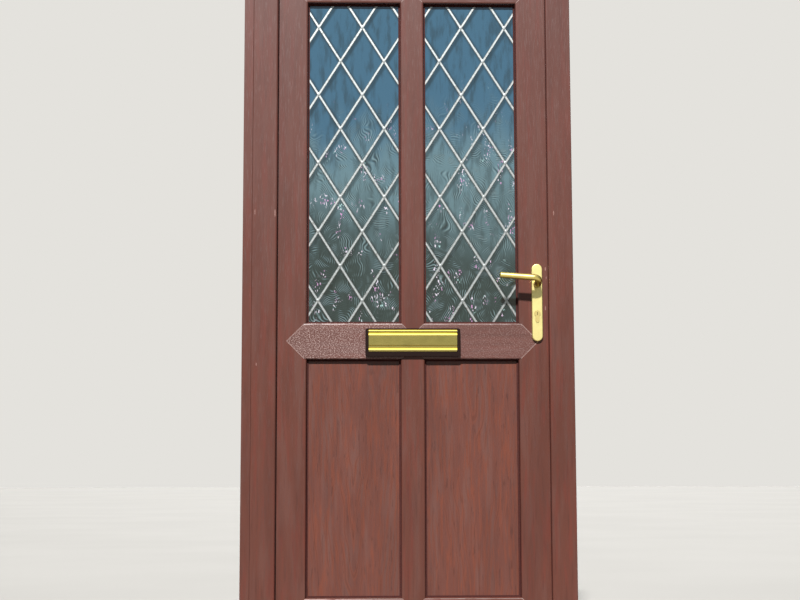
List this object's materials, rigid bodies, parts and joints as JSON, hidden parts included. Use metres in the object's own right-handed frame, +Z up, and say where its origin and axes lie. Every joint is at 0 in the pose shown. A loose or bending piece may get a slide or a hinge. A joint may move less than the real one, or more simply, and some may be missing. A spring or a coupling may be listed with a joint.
{
  "type": "panelled front door",
  "caption": "Panelled front door in its frame: leaded glass above a midrail with a letterplate, flat panels below, lever handles and a multi-point lock.",
  "frame": {"origin": "underside of the sill at mid-width, in the plane of the outer frame's outside face", "axes": "+X to the right seen from outside, +Y into the house, +Z up"},
  "size_m": [0.908, 0.2078, 1.974],
  "materials": {
    "rosewood_foil": "satin rosewood foil",
    "panel_foil": "satin rosewood foil",
    "patterned_glass": "rippled",
    "clear_glass": "clear",
    "lead": "bright lead",
    "polished_gold": "polished",
    "plug_brass": "satin",
    "anodised_gold": "gold anodised",
    "hinge_gold": "gold anodised",
    "black_plastic": "satin",
    "packer_plastic": "moulded",
    "seal_rubber": "matt",
    "spacer_aluminium": "mill",
    "zinc_plate": "zinc plated",
    "galvanised_steel": "galvanised"
  },
  "bodies": {
    "frame": {"frame_head": "rosewood_foil", "frame_hinge_jamb": "rosewood_foil", "frame_lock_jamb": "rosewood_foil", "frame_threshold": "rosewood_foil", "frame_extension": "rosewood_foil", "sill": "rosewood_foil", "frame_steels": "galvanised_steel", "frame_gasket": "seal_rubber", "lock_keep": "zinc_plate", "stud_keeps": "zinc_plate", "hinge_frame_plates": "hinge_gold", "hinge_pins": "galvanised_steel", "hinge_frame_screws": "galvanised_steel"},
    "leaf": {"hinge_stile": "rosewood_foil", "lock_stile": "rosewood_foil", "top_rail": "rosewood_foil", "bottom_rail": "rosewood_foil", "midrail": "rosewood_foil", "upper_mullion": "rosewood_foil", "lower_mullion": "rosewood_foil", "leaf_steels": "galvanised_steel", "leaf_gasket": "seal_rubber", "outer_pane_left": "patterned_glass", "outer_pane_right": "patterned_glass", "inner_pane_left": "clear_glass", "inner_pane_right": "clear_glass", "spacer_left": "spacer_aluminium", "spacer_right": "spacer_aluminium", "lead_outside": "lead", "lead_inside": "lead", "panel_left": "panel_foil", "panel_right": "panel_foil", "glass_beads": "rosewood_foil", "panel_beads": "rosewood_foil", "glazing_gaskets": "seal_rubber", "glazing_packers": "packer_plastic", "hinge_leaf_plates": "hinge_gold", "hinge_leaf_screws": "galvanised_steel", "lock_faceplate": "zinc_plate", "lock_case": "zinc_plate", "cylinder_body": "polished_gold", "handle_plate_outside": "polished_gold", "handle_plate_inside": "polished_gold", "handle_screws": "galvanised_steel", "letterplate_surround": "black_plastic", "letterplate_sleeve": "black_plastic", "letterplate_inner_frame": "black_plastic", "letterplate_screws": "galvanised_steel", "flap_pins": "galvanised_steel"},
    "levers": {"lever_outside": "polished_gold", "lever_inside": "polished_gold", "spindle": "galvanised_steel", "lock_follower": "zinc_plate"},
    "latch": {"latch_bolt": "zinc_plate"},
    "plug": {"cylinder_plug": "plug_brass"},
    "deadbolt": {"deadbolt": "zinc_plate"},
    "rods": {"drive_rods": "zinc_plate"},
    "outer_flap": {"letterplate_flap": "anodised_gold"},
    "inner_flap": {"letterplate_inner_flap": "anodised_gold"}
  },
  "joints": [
    {"name": "leaf_swing", "type": "hinge", "parent": "frame", "child": "leaf", "pos_m": [-0.396, 0.098, 1], "axis": [0, 0, 1], "range_deg": [0, 90]},
    {"name": "lever_turn", "type": "hinge", "parent": "leaf", "child": "levers", "pos_m": [0.355, 0.055, 1.026], "axis": [0, -1, 0], "range_deg": [0, 40], "stiffness_Nm_per_rad": 1.5, "springref_deg": -28.65},
    {"name": "latch_slide", "type": "slide", "parent": "leaf", "child": "latch", "axis": [-1, 0, 0], "range_m": [0, 0.0115]},
    {"name": "plug_turn", "type": "hinge", "parent": "leaf", "child": "plug", "pos_m": [0.355, 0.061, 0.945], "axis": [0, -1, 0], "range_deg": [0, 360]},
    {"name": "deadbolt_slide", "type": "slide", "parent": "leaf", "child": "deadbolt", "axis": [1, 0, 0], "range_m": [0, 0.018]},
    {"name": "rod_slide", "type": "slide", "parent": "leaf", "child": "rods", "axis": [0, 0, 1], "range_m": [0, 0.022]},
    {"name": "outer_flap_swing", "type": "hinge", "parent": "leaf", "child": "outer_flap", "pos_m": [0.0125, 0.0125, 0.897], "axis": [-1, 0, 0], "range_deg": [0, 90], "stiffness_Nm_per_rad": 0.06, "springref_deg": -34.38},
    {"name": "inner_flap_swing", "type": "hinge", "parent": "leaf", "child": "inner_flap", "pos_m": [0.0125, 0.096, 0.8985], "axis": [1, 0, 0], "range_deg": [0, 90], "stiffness_Nm_per_rad": 0.06, "springref_deg": -34.38}
  ],
  "couplings": [
    {"joint": "latch_slide", "follows": "lever_turn", "m_per_rad": 0.01647},
    {"joint": "deadbolt_slide", "follows": "plug_turn", "m_per_rad": 0.0028645}
  ]
}
